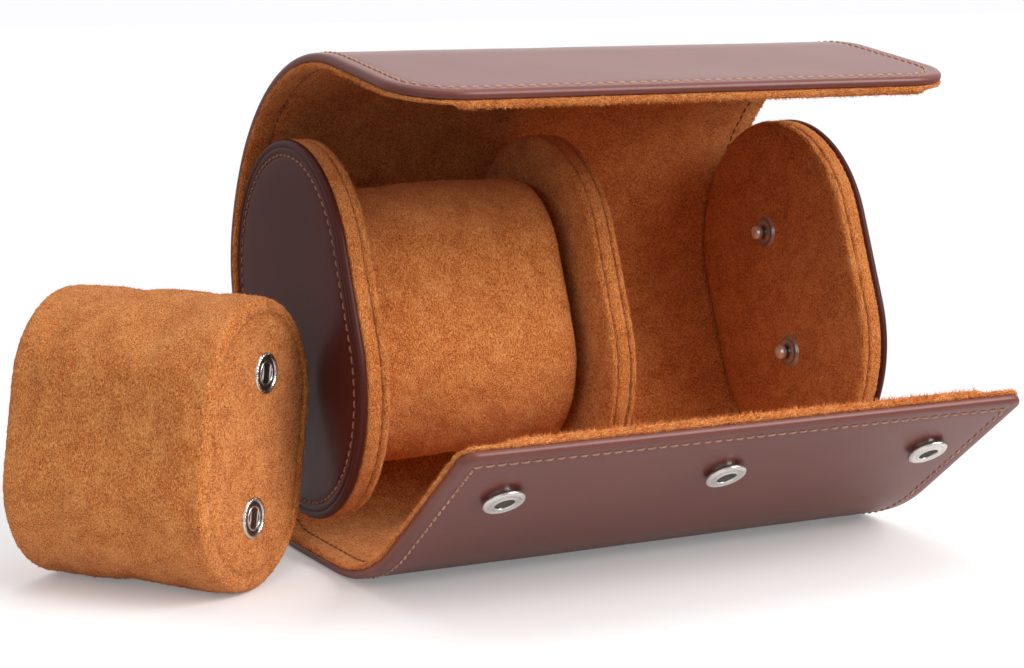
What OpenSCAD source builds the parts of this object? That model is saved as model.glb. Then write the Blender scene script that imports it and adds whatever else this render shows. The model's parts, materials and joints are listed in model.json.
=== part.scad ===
// Two-bay watch roll: a leather cover wrapped round two end caps and a divider, with a top flap and a front
// lip that close on three press studs, and two padded watch cushions that snap onto the end caps.
// X runs along the case, the front is -Y, and Z = 0 is the floor. The case is drawn open.

/* [Case] */
// Length of the case over both end caps
case_w = 152; // [136:1:172]
// Height of an end cap along its long side
cap_h = 95; // [90:0.5:100]
// Depth of an end cap, which is also the width of its round ends
cap_d = 71; // [67:0.5:75]
// Thickness of an end cap
cap_t = 8.8; // [7.8:0.1:10]
// Thickness of the divider
divider_t = 8.2; // [7:0.1:10]
// How much smaller the divider is than a cap, all round
divider_inset = 1.2; // [0.6:0.1:2]
// Distance of the divider from the middle, towards the left
divider_shift = 3; // [-3:0.5:3]
// Backward lean of the caps as the open case stands
lean = 22; // [20:0.5:24]
// Height of the caps' centre over the floor
cap_z = 56.8; // [55:0.1:59]
// Distance of the caps' centre behind the middle of the foot
cap_y = 2.5; // [0:0.1:4]

/* [Cover] */
// Thickness of the outer leather
leather_t = 1.2; // [1:0.1:1.6]
// Thickness of the stiffening board
board_t = 1.1; // [0.8:0.1:1.4]
// Thickness of the suede lining
lining_t = 1.3; // [1.1:0.1:1.6]
// Gap between the lining and the back of the caps
cap_gap = 0.3; // [0.2:0.05:0.6]
// Width of the leather hem turned in round the board
hem_w = 3; // [2:0.5:5]
// How far the lining stays inside the leather's edge
lining_inset = 0.6; // [0.4:0.1:1.5]
// Radius of the bend from the back to the foot
foot_r = 24; // [20:0.5:28]
// Front edge of the foot, where the lip starts
foot_front = 4; // [3:0.5:6]
// Turn of the cover round the caps' upper back corner, in degrees
back_turn = 38; // [34:1:42]
// Length of the cover between that corner and the flap's first fold
shoulder_l = 14; // [10:1:18]
// Turn of that length, in degrees
shoulder_turn = 11; // [8:1:14]

/* [Flap] */
// Length of the flap's first segment
flap_1_l = 26; // [24:1:30]
// Turn of the flap's first segment, in degrees
flap_1_turn = 24; // [22:1:26]
// Length of the flap's second segment
flap_2_l = 50; // [47:1:53]
// Turn of the flap's second segment, in degrees
flap_2_turn = 47; // [44:1:50]
// Length of the flap's flat end segment
flap_3_l = 43.5; // [42:0.5:50]
// Radius of the flap's front corners
flap_corner_r = 16; // [6:1:24]
// Closing angle of the flap's first fold, in degrees
flap_1_close = 14; // [10:0.5:16]
// Closing angle of the flap's second fold, in degrees
flap_2_close = 11; // [9:0.5:14]

/* [Lip] */
// Length of the lip's flat start on the floor
lip_foot_l = 17; // [12:1:20]
// Length of the lip's bend
lip_bend_l = 36; // [32:1:40]
// Turn of the lip's bend, in degrees
lip_turn = 38; // [34:1:42]
// Length of the lip's second segment
lip_2_l = 21; // [18:1:24]
// Length of the lip's end segment
lip_3_l = 28; // [26:1:34]
// Radius of the lip's front corners
lip_corner_r = 4; // [2:0.5:10]
// Closing angle of the lip's first fold, in degrees
lip_1_close = 29; // [25:0.5:31]
// Closing angle of the lip's second fold, in degrees
lip_2_close = 26; // [22:0.5:28]
// Closing angle of the lip's third fold, in degrees
lip_3_close = 21; // [18:0.5:24]

/* [Folds] */
// Gap in the leather at a fold
fold_gap = 0.4; // [0.4:0.05:0.8]
// Gap in the board and the lining at a fold
fold_gap_in = 2.4; // [2.4:0.1:4]

/* [Closing studs] */
// Distance of the outer closing studs from the case's sides
snap_side = 17.5; // [15:0.5:26]
// Distance of the sockets from the lip's front edge
snap_edge = 21; // [20:0.5:22]
// Diameter of a socket
socket_d = 10.2; // [9:0.1:11]
// Height of a socket's cap
socket_t = 1.5; // [1.3:0.1:1.6]
// Height of the stem under a socket's cap
socket_stem = 0.7; // [0.5:0.05:0.8]
// Diameter of a socket's stem
socket_stem_d = 6.6; // [6.2:0.1:7.5]
// Diameter of the washer behind a socket
socket_washer_d = 9; // [8.2:0.1:10]
// Diameter of a ball stud
ball_d = 4; // [3.6:0.1:4.2]
// Height of a closing stud's ball over the lining
stud_h = 2; // [1.8:0.05:2.1]
// Diameter of a stud's neck
neck_d = 2.8; // [2.2:0.1:3.2]
// Diameter of a closing stud's base in the lining
stud_base_d = 8; // [7:0.1:9]
// Radial clearance of a ball in its socket
ball_gap = 0.35; // [0.25:0.05:0.6]
// Clearance round a fitting that is let into a layer
let_in = 0.15; // [0.1:0.05:0.3]

/* [Cushions] */
// Height of a cushion
cushion_h = 70; // [66:0.5:72]
// Depth of a cushion
cushion_d = 49; // [45:0.5:52]
// Gap between a cushion and the divider, more than it slides back to unsnap
cushion_end_gap = 3.4; // [3:0.1:6]
// Thickness of the suede on a cushion and on the caps
suede_t = 1.2; // [1:0.1:1.4]
// Distance between a cushion's two sockets
pad_pitch = 34; // [30:0.5:38]
// Diameter of a cushion's socket
pad_socket_d = 10; // [9:0.1:11]
// How far a cushion's socket stands out of its end
pad_socket_out = 0.6; // [0.4:0.1:0.8]
// Depth of a cushion's socket behind its end
pad_socket_in = 2.6; // [2.4:0.1:3.2]
// Diameter of the base of a cap's stud
pad_stud_d = 8.4; // [7.6:0.1:9]
// Thickness of that base
pad_stud_base = 0.8; // [0.6:0.1:0.8]
// Height of a cap's stud over the cap
pad_stud_h = 3.4; // [3:0.1:3.6]
// Gap between a stud's base and the socket snapped on it
pad_gap = 0.3; // [0.3:0.05:0.5]
// Distance of the loose cushion's middle from the case's left side
loose_out = 38; // [36:1:64]
// Place of the loose cushion, in front of the middle of the foot
loose_y = 5; // [-10:1:60]
// Turn of the loose cushion about the vertical, in degrees
loose_turn = 51; // [40:1:60]
// Backward roll of the loose cushion, in degrees
loose_roll = 12; // [0:1:20]

/* [Hidden] */
$fn = 72;

half_w = case_w / 2;
cover_t = leather_t + board_t + lining_t;
snap_pitch = half_w - snap_side;
bay_l = half_w - divider_shift - divider_t / 2 - cap_t;       // the left bay, from cap to divider
cushion_l = bay_l - pad_stud_base - pad_gap - pad_socket_out - cushion_end_gap;
loose_x = half_w + loose_out;
cap_straight = cap_h - cap_d;
fold_depth = leather_t / 2;                 // the folds turn in the middle of the leather
wrap_r = cap_d / 2 + cap_gap + cover_t;     // leather's outer radius where it follows the caps
cover_colour = "saddlebrown";
board_colour = "tan";
suede_colour = "peru";
metal_colour = "silver";

// ---- the cover's section, as poses [y, z, heading] of the leather's outer face ----
function along(p, l, a) = a == 0
  ? [p[0] + l * cos(p[2]), p[1] + l * sin(p[2]), p[2]]
  : let (r = l * 180 / (PI * a))
    [p[0] + r * (sin(p[2] + a) - sin(p[2])), p[1] + r * (cos(p[2]) - cos(p[2] + a)), p[2] + a];
function part_way(p, l, a, s) = along(p, s, a * s / l);
function arc_l(r, a) = r * a * PI / 180;
function turned(p, o, a) = let (v = p - o) o + [v[0] * cos(a) - v[1] * sin(a), v[0] * sin(a) + v[1] * cos(a)];
// a point at a depth under the outer face, on the left (side = 1) or right (side = -1) of the heading
function under(p, depth, side) = [p[0] - side * depth * sin(p[2]), p[1] + side * depth * cos(p[2])];

start_y = cap_y + wrap_r * cos(lean);
start_z = cap_z - wrap_r * sin(lean);
back_up = [start_y, start_z, 90 - lean];
corner_up = along(back_up, cap_straight / 2, 0);
corner_l = arc_l(wrap_r, back_turn);
shoulder = along(corner_up, corner_l, back_turn);
flap_1 = along(shoulder, shoulder_l, shoulder_turn);
flap_2 = along(flap_1, flap_1_l, flap_1_turn);
flap_3 = along(flap_2, flap_2_l, flap_2_turn);

back_down = [start_y, start_z, -90 - lean];
foot_turn = 90 - lean;
down_l = (start_z - foot_r * (1 - cos(foot_turn))) / cos(lean);
foot_bend = along(back_down, down_l, 0);
foot_bend_l = arc_l(foot_r, foot_turn);
foot = along(foot_bend, foot_bend_l, -foot_turn);
foot_l = foot[0] + foot_front;
lip_1 = [-foot_front, 0, -180];
lip_bend = along(lip_1, lip_foot_l, 0);
lip_2 = along(lip_bend, lip_bend_l, -lip_turn);
lip_3 = along(lip_2, lip_2_l, 0);

// ---- the closed case: where the lip's sockets come to lie, and the flap studs that meet them ----
lip_axes = [under(lip_1, fold_depth, -1), under(lip_2, fold_depth, -1), under(lip_3, fold_depth, -1)];
flap_axes = [under(flap_1, fold_depth, 1), under(flap_2, fold_depth, 1), under(flap_3, fold_depth, 1)];
flap_3_close = (lip_3[2] - lip_1_close - lip_2_close - lip_3_close + 540)
  - flap_3[2] - flap_1_close - flap_2_close;
socket_s = lip_3_l - snap_edge;
socket_rest = along(lip_3, socket_s, 0);
socket_closed = turned(turned(turned([socket_rest[0], socket_rest[1]], lip_axes[2], -lip_3_close),
  lip_axes[1], -lip_2_close), lip_axes[0], -lip_1_close);
stud_at_rest = turned(turned(turned(socket_closed, flap_axes[0], -flap_1_close),
  flap_axes[1], -flap_2_close), flap_axes[2], -flap_3_close);
stud_s = (stud_at_rest[0] - flap_3[0]) * cos(flap_3[2]) + (stud_at_rest[1] - flap_3[1]) * sin(flap_3[2]);

// ---- building blocks ----
// a 2D section drawn in Y (across) and Z (up), run along X from x0 to x1
module run_x(x0, x1) translate([x0, 0, 0]) rotate([90, 0, 90]) linear_extrude(height = x1 - x0) children();

// A run is a list of path pieces [pose, length, turn, side, from, to], in order along the cover. Its bends
// are drawn as short flats of at most 3 degrees, the same for every layer, so that layers lie face to face.
flat_turn = 3;
function flats(q) = q[2] == 0 ? 1 : ceil(abs(q[2]) / flat_turn);
function corner(q, k, depth) = under(part_way(q[0], q[1], q[2], q[1] * k / flats(q)), depth, q[3]);
function on_flat(q, s, depth) = let (v = s * flats(q) / q[1], k = min(floor(v), flats(q) - 1))
  corner(q, k, depth) + (v - k) * (corner(q, k + 1, depth) - corner(q, k, depth));
function backwards(v) = [for (i = [len(v) - 1 : -1 : 0]) v[i]];
function corners_between(q) = let (n = flats(q), lo = min(q[4], q[5]), hi = max(q[4], q[5]))
  [for (k = [1 : 1 : n - 1]) let (s = q[1] * k / n) if (s > lo && s < hi) s];
function stops(q) = concat([q[4]], q[5] > q[4] ? corners_between(q) : backwards(corners_between(q)), [q[5]]);
function run_points(run, depth) = [for (k = [0 : len(run) - 1]) let (v = stops(run[k]))
  for (i = [k == 0 ? 0 : 1 : len(v) - 1]) on_flat(run[k], v[i], depth)];
module sheet(run, d0, d1, x0, x1)
  run_x(x0, x1) polygon(concat(run_points(run, d0), backwards(run_points(run, d1))));

// one layer of a cover piece: 0 is the leather with its turned-in hems, 1 the board and 2 the lining.
// The leather's run comes close to the folds, and the hems and inner layers stay further back.
module layer(which, outer, inner) {
  if (which == 0) {
    sheet(outer, 0, leather_t, -half_w, half_w);
    for (m = [0, 1]) mirror([m, 0, 0])
      sheet(inner, leather_t / 2, leather_t + board_t, half_w - hem_w, half_w);
  }
  if (which == 1) sheet(inner, leather_t, leather_t + board_t, -half_w + hem_w, half_w - hem_w);
  if (which == 2) sheet(inner, leather_t + board_t, cover_t, -half_w + lining_inset, half_w - lining_inset);
}
back_outer = fold_gap / 2;      // how far the leather stays back from a fold
back_inner = fold_gap_in / 2;   // and the other layers

// a flat plate in the plane of an end segment: x across, y along the path, with round front corners
module plate_2d(l, inset, back, corner_r) {
  w = half_w - inset;
  e = l - inset;
  r = corner_r - inset;
  difference() {
    translate([-w, back]) square([2 * w, e - back]);
    for (m = [0, 1]) mirror([m, 0]) difference() {
      translate([w - r, e - r]) square([r + 1, r + 1]);
      translate([w - r, e - r]) circle(r);
    }
  }
}
// puts flat work on an end segment: z = 0 is the leather's outer face and +z goes into the cover
module on_end(p, side) translate([0, p[0], p[1]]) rotate([p[2], 0, 0])
  mirror([0, 0, side > 0 ? 0 : 1]) children();

module end_leather(p, l, side, corner_r) on_end(p, side) difference() {
  linear_extrude(height = leather_t + board_t) plate_2d(l, 0, back_outer, corner_r);
  translate([0, 0, leather_t]) linear_extrude(height = cover_t) plate_2d(l, hem_w, -1, corner_r);
  translate([-case_w, -1, leather_t]) cube([2 * case_w, 1 + back_inner, cover_t]);
}

// a closed racetrack, the outline of caps and cushions: long side along Y, its plane is XY
module racetrack(h, d) {
  square([d, h - d], center = true);
  for (m = [-1, 1]) translate([0, m * (h - d) / 2]) circle(d / 2);
}
module racetrack_plate(h, d, z0, z1) translate([0, 0, z0]) linear_extrude(height = z1 - z0) racetrack(h, d);
// sweeps a profile drawn in (distance from the round ends' centres, height) round a racetrack
module racetrack_sweep(straight) {
  for (m = [0, 180]) rotate([0, 0, m]) {
    translate([0, straight / 2, 0]) rotate_extrude(angle = 180) children();
    rotate([90, 0, 0]) linear_extrude(height = straight, center = true) children();
  }
}
// a band's section from r0 to r1 and z0 to z1, its outer corners rounded by round_0 and round_1
module band_section(r0, r1, z0, z1, round_0, round_1) {
  difference() {
    translate([r0, z0]) square([r1 - r0, z1 - z0]);
    if (round_0 > 0) difference() {
      translate([r1 - round_0, z0 - 1]) square([round_0 + 1, round_0 + 1]);
      translate([r1 - round_0, z0 + round_0]) circle(round_0);
    }
    if (round_1 > 0) difference() {
      translate([r1 - round_1, z1 - round_1]) square([round_1 + 1, round_1 + 1]);
      translate([r1 - round_1, z1 - round_1]) circle(round_1);
    }
  }
}

// ---- cover ----
function back_run(f) = [
  [foot, foot_l, 0, -1, foot_l - f, 0],
  [foot_bend, foot_bend_l, -foot_turn, -1, foot_bend_l, 0],
  [back_down, down_l, 0, -1, down_l, 0],
  [back_up, cap_straight / 2, 0, 1, 0, cap_straight / 2],
  [corner_up, corner_l, back_turn, 1, 0, corner_l],
  [shoulder, shoulder_l, shoulder_turn, 1, 0, shoulder_l - f]
];
module cover_back(which) layer(which, back_run(back_outer), back_run(back_inner));
module cover_back_leather() color(cover_colour) cover_back(0);
module cover_back_board() color(board_colour) cover_back(1);
module cover_back_lining() color(suede_colour) cover_back(2);

function flap_1_run(f) = [[flap_1, flap_1_l, flap_1_turn, 1, f, flap_1_l - f]];
module flap_first(which) layer(which, flap_1_run(back_outer), flap_1_run(back_inner));
module flap_1_leather() color(cover_colour) flap_first(0);
module flap_1_board() color(board_colour) flap_first(1);
module flap_1_lining() color(suede_colour) flap_first(2);

function flap_2_run(f) = [[flap_2, flap_2_l, flap_2_turn, 1, f, flap_2_l - f]];
module flap_second(which) layer(which, flap_2_run(back_outer), flap_2_run(back_inner));
module flap_2_leather() color(cover_colour) flap_second(0);
module flap_2_board() color(board_colour) flap_second(1);
module flap_2_lining() color(suede_colour) flap_second(2);

module at_studs() for (k = [-1, 0, 1]) translate([k * snap_pitch, stud_s]) children();
module flap_3_leather() color(cover_colour) end_leather(flap_3, flap_3_l, 1, flap_corner_r);
module flap_3_board() color(board_colour) on_end(flap_3, 1) translate([0, 0, leather_t])
  linear_extrude(height = board_t) plate_2d(flap_3_l, hem_w, back_inner, flap_corner_r);
module flap_3_lining() color(suede_colour) on_end(flap_3, 1) translate([0, 0, leather_t + board_t])
  difference() {
    linear_extrude(height = lining_t) plate_2d(flap_3_l, lining_inset, back_inner, flap_corner_r);
    at_studs() translate([0, 0, -1]) cylinder(h = lining_t + 2, d = stud_base_d + 2 * let_in);
  }
// closing studs: a base let into the lining, a neck and a ball that stands out of it
module flap_studs() color(metal_colour) on_end(flap_3, 1) at_studs()
  translate([0, 0, leather_t + board_t]) {
    cylinder(h = lining_t, d = stud_base_d);
    translate([0, 0, lining_t]) ball_stud(stud_h, ball_d, neck_d);
  }
// a neck with a flattened ball on it, h high over z = 0
module ball_stud(h, d, neck) rotate_extrude() intersection() {
  union() {
    square([neck / 2, h - d / 4]);
    translate([0, h - d / 2]) circle(d / 2);
  }
  square([d, h]);
}

function lip_1_run(f) = [
  [lip_1, lip_foot_l, 0, -1, f, lip_foot_l],
  [lip_bend, lip_bend_l, -lip_turn, -1, 0, lip_bend_l - f]
];
module lip_first(which) layer(which, lip_1_run(back_outer), lip_1_run(back_inner));
module lip_1_leather() color(cover_colour) lip_first(0);
module lip_1_board() color(board_colour) lip_first(1);
module lip_1_lining() color(suede_colour) lip_first(2);

function lip_2_run(f) = [[lip_2, lip_2_l, 0, -1, f, lip_2_l - f]];
module lip_second(which) layer(which, lip_2_run(back_outer), lip_2_run(back_inner));
module lip_2_leather() color(cover_colour) lip_second(0);
module lip_2_board() color(board_colour) lip_second(1);
module lip_2_lining() color(suede_colour) lip_second(2);

module at_sockets() for (k = [-1, 0, 1]) translate([k * snap_pitch, socket_s]) children();
module lip_3_leather() color(cover_colour) difference() {
  end_leather(lip_3, lip_3_l, -1, lip_corner_r);
  on_end(lip_3, -1) at_sockets() translate([0, 0, -1])
    cylinder(h = leather_t + 2, d = socket_stem_d + 2 * let_in);
}
module lip_3_board() color(board_colour) on_end(lip_3, -1) translate([0, 0, leather_t]) difference() {
  linear_extrude(height = board_t) plate_2d(lip_3_l, hem_w, back_inner, lip_corner_r);
  at_sockets() translate([0, 0, -1]) cylinder(h = board_t + 2, d = socket_washer_d + 2 * let_in);
}
module lip_3_lining() color(suede_colour) on_end(lip_3, -1) translate([0, 0, leather_t + board_t])
  linear_extrude(height = lining_t) plate_2d(lip_3_l, lining_inset, back_inner, lip_corner_r);
// closing sockets: a round cap with a domed edge on a stem that passes the leather, bored for the ball
module lip_sockets() color(metal_colour) on_end(lip_3, -1) at_sockets() rotate_extrude() difference() {
  union() {
    translate([0, -socket_stem - 0.3]) square([socket_stem_d / 2, socket_stem + 0.3 + leather_t]);
    translate([0, -socket_stem]) mirror([0, 1]) band_section(0, socket_d / 2, 0, socket_t, 0.4, 0.6);
  }
  translate([-1, -socket_stem - socket_t - 1])
    square([ball_d / 2 + ball_gap + 1, socket_stem + socket_t + 1]);
}
module lip_socket_washers() color(metal_colour) on_end(lip_3, -1) at_sockets()
  translate([0, 0, leather_t]) cylinder(h = board_t, d = socket_washer_d);

// ---- caps: local z = 0 is the outer face, the long side leans back with the case ----
module lean_frame() translate([0, cap_y, cap_z]) rotate([-lean, 0, 0]) rotate([90, 0, 90]) children();
module left_place() lean_frame() translate([0, 0, -half_w]) children();
module right_place() lean_frame() translate([0, 0, half_w]) mirror([0, 0, 1]) children();

cap_r = cap_d / 2;
bead_r = suede_t;               // the cap leather's rolled edge
panel_z = 0.6;                  // depth of the cap's leather panel behind its rolled edge
panel_t = 1.4;
seam_gap = 0.1;
core_r = cap_r - 2 * bead_r;

module cap_leather() {
  racetrack_plate(cap_h - 2 * bead_r, cap_d - 2 * bead_r, panel_z, panel_z + panel_t);
  racetrack_sweep(cap_straight) translate([cap_r - bead_r, bead_r]) circle(bead_r);
}
module cap_core() racetrack_plate(cap_straight + 2 * core_r, 2 * core_r, panel_z + panel_t, cap_t - suede_t);
module cap_band() racetrack_sweep(cap_straight)
  band_section(core_r, cap_r - 0.5, 2 * bead_r + seam_gap, cap_t, 0.5, suede_t);
module cap_face() racetrack_plate(cap_straight + 2 * core_r, 2 * core_r, cap_t - suede_t, cap_t);
// two studs on a cap's inner face, for a cushion
module cap_studs() for (m = [-1, 1]) translate([0, m * pad_pitch / 2, cap_t]) {
  cylinder(h = pad_stud_base, d = pad_stud_d);
  ball_stud(pad_stud_h, ball_d, neck_d);
}
module left_cap_leather() color(cover_colour) left_place() cap_leather();
module left_cap_core() color(board_colour) left_place() cap_core();
module left_cap_band() color(suede_colour) left_place() cap_band();
module left_cap_face() color(suede_colour) left_place() cap_face();
module left_cap_studs() color(metal_colour) left_place() cap_studs();
module right_cap_leather() color(cover_colour) right_place() cap_leather();
module right_cap_core() color(board_colour) right_place() cap_core();
module right_cap_band() color(suede_colour) right_place() cap_band();
module right_cap_face() color(suede_colour) right_place() cap_face();
module right_cap_studs() color(metal_colour) right_place() cap_studs();

// ---- divider ----
divider_r = cap_r - divider_inset;
divider_core_r = divider_r - 1.8;
groove_r = 0.5;                 // the two seams round the divider's rim
groove_in = 2.2;
// the smaller divider rests on the cover's back, as the caps do
module divider_place() lean_frame() translate([divider_inset, 0, -divider_shift - divider_t / 2]) children();
module divider_plate(z0, z1) racetrack_plate(cap_straight + 2 * divider_core_r, 2 * divider_core_r, z0, z1);
module divider_core() color(board_colour) divider_place() divider_plate(suede_t, divider_t - suede_t);
module divider_band() color(suede_colour) divider_place() racetrack_sweep(cap_straight) difference() {
  band_section(divider_core_r, divider_r, 0, divider_t, suede_t, suede_t);
  for (z = [groove_in, divider_t - groove_in]) translate([divider_r, z]) circle(groove_r);
}
module divider_left_face() color(suede_colour) divider_place() divider_plate(0, suede_t);
module divider_right_face() color(suede_colour) divider_place() divider_plate(divider_t - suede_t, divider_t);

// ---- cushions: local z = 0 is the end with the sockets ----
pad_straight = cushion_h - cushion_d;
pad_r = cushion_d / 2;
pad_core_r = pad_r - suede_t;
socket_bore_d = ball_d + 2 * ball_gap;
module pad_plate(z0, z1) racetrack_plate(pad_straight + 2 * pad_core_r, 2 * pad_core_r, z0, z1);
module at_pad_sockets() for (m = [-1, 1]) translate([0, m * pad_pitch / 2, 0]) children();
module pad_socket_hole() at_pad_sockets() translate([0, 0, -1])
  cylinder(h = pad_socket_in + let_in + 1, d = pad_socket_d + 2 * let_in);
module cushion_foam() difference() {
  pad_plate(suede_t, cushion_l - suede_t);
  pad_socket_hole();
}
module cushion_sleeve() racetrack_sweep(pad_straight)
  band_section(pad_core_r, pad_r, 0, cushion_l, suede_t, suede_t);
module cushion_socket_end() difference() {
  pad_plate(0, suede_t);
  pad_socket_hole();
}
module cushion_plain_end() pad_plate(cushion_l - suede_t, cushion_l);
module cushion_sockets() at_pad_sockets() translate([0, 0, -pad_socket_out]) rotate_extrude() difference() {
  band_section(0, pad_socket_d / 2, 0, pad_socket_out + pad_socket_in, 0.5, 0);
  translate([-1, -1]) square([socket_bore_d / 2 + 1, pad_socket_out + pad_socket_in - 0.4 + 1]);
}
module left_cushion_place() left_place()
  translate([0, 0, cap_t + pad_stud_base + pad_gap + pad_socket_out]) children();
// the loose cushion stands on its round lower end, rolled back, with its sockets to the front
loose_rest_z = pad_r + pad_straight / 2 * cos(loose_roll);
module loose_cushion_place() translate([-loose_x, -loose_y, loose_rest_z]) rotate([0, 0, -loose_turn])
  rotate([-loose_roll, 0, 0]) rotate([90, 0, 90]) translate([0, 0, cushion_l / 2]) mirror([0, 0, 1])
  children();

module left_cushion_foam() color("ivory") left_cushion_place() cushion_foam();
module left_cushion_sleeve() color(suede_colour) left_cushion_place() cushion_sleeve();
module left_cushion_socket_end() color(suede_colour) left_cushion_place() cushion_socket_end();
module left_cushion_plain_end() color(suede_colour) left_cushion_place() cushion_plain_end();
module left_cushion_sockets() color(metal_colour) left_cushion_place() cushion_sockets();
module loose_cushion_foam() color("ivory") loose_cushion_place() cushion_foam();
module loose_cushion_sleeve() color(suede_colour) loose_cushion_place() cushion_sleeve();
module loose_cushion_socket_end() color(suede_colour) loose_cushion_place() cushion_socket_end();
module loose_cushion_plain_end() color(suede_colour) loose_cushion_place() cushion_plain_end();
module loose_cushion_sockets() color(metal_colour) loose_cushion_place() cushion_sockets();

cover_back_leather();
cover_back_board();
cover_back_lining();
flap_1_leather();
flap_1_board();
flap_1_lining();
flap_2_leather();
flap_2_board();
flap_2_lining();
flap_3_leather();
flap_3_board();
flap_3_lining();
flap_studs();
lip_1_leather();
lip_1_board();
lip_1_lining();
lip_2_leather();
lip_2_board();
lip_2_lining();
lip_3_leather();
lip_3_board();
lip_3_lining();
lip_sockets();
lip_socket_washers();
left_cap_leather();
left_cap_core();
left_cap_band();
left_cap_face();
left_cap_studs();
right_cap_leather();
right_cap_core();
right_cap_band();
right_cap_face();
right_cap_studs();
divider_core();
divider_band();
divider_left_face();
divider_right_face();
left_cushion_foam();
left_cushion_sleeve();
left_cushion_socket_end();
left_cushion_plain_end();
left_cushion_sockets();
loose_cushion_foam();
loose_cushion_sleeve();
loose_cushion_socket_end();
loose_cushion_plain_end();
loose_cushion_sockets();
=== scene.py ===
"""The looks of a two-bay watch travel case: a leather cover lined with suede, two caps, a divider and two cushions.

Lengths are millimetres in the helpers and become metres when a mesh is made. The cover is drawn as one flat
sheet, x across and s along from the lip's edge to the flap's edge, and bent along the cover's section.
"""
import json
import math

import bmesh
import bpy
import numpy as np
from mathutils import Matrix, Vector
from mathutils.kdtree import KDTree

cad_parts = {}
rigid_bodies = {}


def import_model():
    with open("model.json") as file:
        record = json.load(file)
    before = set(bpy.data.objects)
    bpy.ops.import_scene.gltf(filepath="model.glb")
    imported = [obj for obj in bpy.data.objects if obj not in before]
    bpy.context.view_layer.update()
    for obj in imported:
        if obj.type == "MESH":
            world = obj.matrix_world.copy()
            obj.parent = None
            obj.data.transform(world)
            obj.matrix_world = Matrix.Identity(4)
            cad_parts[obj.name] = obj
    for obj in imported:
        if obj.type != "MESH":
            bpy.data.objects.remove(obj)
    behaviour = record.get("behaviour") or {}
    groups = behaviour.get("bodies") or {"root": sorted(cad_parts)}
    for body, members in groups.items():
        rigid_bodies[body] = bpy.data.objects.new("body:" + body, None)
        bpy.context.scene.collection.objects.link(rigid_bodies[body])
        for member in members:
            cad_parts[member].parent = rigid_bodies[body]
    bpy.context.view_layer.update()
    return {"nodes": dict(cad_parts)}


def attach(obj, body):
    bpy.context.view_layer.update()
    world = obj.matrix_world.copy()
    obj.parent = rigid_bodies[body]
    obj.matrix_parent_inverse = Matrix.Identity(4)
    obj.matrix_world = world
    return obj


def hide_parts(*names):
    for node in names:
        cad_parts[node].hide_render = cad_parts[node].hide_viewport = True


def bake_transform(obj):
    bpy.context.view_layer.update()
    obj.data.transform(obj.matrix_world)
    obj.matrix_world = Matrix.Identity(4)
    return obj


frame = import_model()
MM = 0.001
scene = bpy.context.scene
rng = np.random.default_rng(7)  # the linings' unevenness; each other piece has a seed of its own

# ---- driving sizes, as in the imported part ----
HALF_W = 76.0
CAP_H, CAP_D, CAP_T = 95.0, 71.0, 8.8
CAP_R, CAP_STRAIGHT = CAP_D / 2, CAP_H - CAP_D
LEAN, CAP_Y, CAP_Z = 22.0, 2.5, 56.8
LEATHER, BOARD, LINING = 1.2, 1.1, 1.3
COVER_T = LEATHER + BOARD + LINING
CAP_GAP = 0.3  # between a cap and the lining wrapped round it
WRAP_R = CAP_R + CAP_GAP + COVER_T
DIVIDER_T, DIVIDER_INSET, DIVIDER_SHIFT = 8.2, 1.2, 3.0
BACK_TURN, SHOULDER, FLAP_1, FLAP_2 = 38, (14, 11), (26, 24), (50, 47)  # turns, or (length, turn), of the cover
FOOT_R, FOOT_FRONT, LIP_FOOT_L, LIP_BEND, LIP_2_L = 24.0, 4.0, 17, (36, -38), 21
FLAP_3_L, LIP_3_L = 43.5, 28.0
FLAP_CORNER, LIP_CORNER = 16.0, 4.0
SNAP_PITCH, SNAP_EDGE = 58.5, 21.0
CUSHION_H, CUSHION_D, CUSHION_L = 70.0, 49.0, 55.0
CUSHION_R, CUSHION_STRAIGHT = CUSHION_D / 2, CUSHION_H - CUSHION_D
CUSHION_Z = CAP_T + 0.8 + 0.3 + 0.6  # beyond the cap: a stud's base, a clearance and the socket's rim
PAD_PITCH, STUD_H = 34.0, 4.2
LOOSE_X, LOOSE_Y, LOOSE_TURN, LOOSE_ROLL = 114.0, 5.0, 51.0, 12.0


# ---- materials ----
def linear(r, g, b):
    """An sRGB colour of 0 to 255 as linear RGBA."""
    return tuple(((c / 255 + 0.055) / 1.055) ** 2.4 if c > 10 else c / 255 / 12.92 for c in (r, g, b)) + (1.0,)


def feed(net, node, inputs):
    """Sets a node's inputs, each from a value or from another node's output."""
    for key, value in inputs.items():
        if isinstance(value, bpy.types.NodeSocket):
            net.links.new(value, node.inputs[key])
        else:
            node.inputs[key].default_value = value


def add(net, kind, inputs, **settings):
    """A new node of a kind, with its settings and its inputs."""
    node = net.nodes.new("ShaderNode" + kind)
    for key, value in settings.items():
        setattr(node, key, value)
    feed(net, node, inputs)
    return node


def new_material(name):
    m = bpy.data.materials.new(name)
    m.use_nodes = True
    return m, m.node_tree, m.node_tree.nodes["Principled BSDF"]


def coordinates(net, on_sheet):
    """Position in millimetres: the piece's own flat coordinates, or the row frame's on a CAD node."""
    if on_sheet:
        return add(net, "Attribute", {}, attribute_name="flat").outputs["Vector"]
    place = add(net, "TexCoord", {}).outputs["Object"]
    return add(net, "VectorMath", {0: place, "Scale": 1000}, operation="SCALE").outputs[0]


def noise(net, at, scale, detail, rough, distortion=0.0):
    inputs = {"Vector": at, "Scale": scale, "Detail": detail, "Roughness": rough, "Distortion": distortion}
    return add(net, "TexNoise", inputs).outputs["Fac"]


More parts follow.
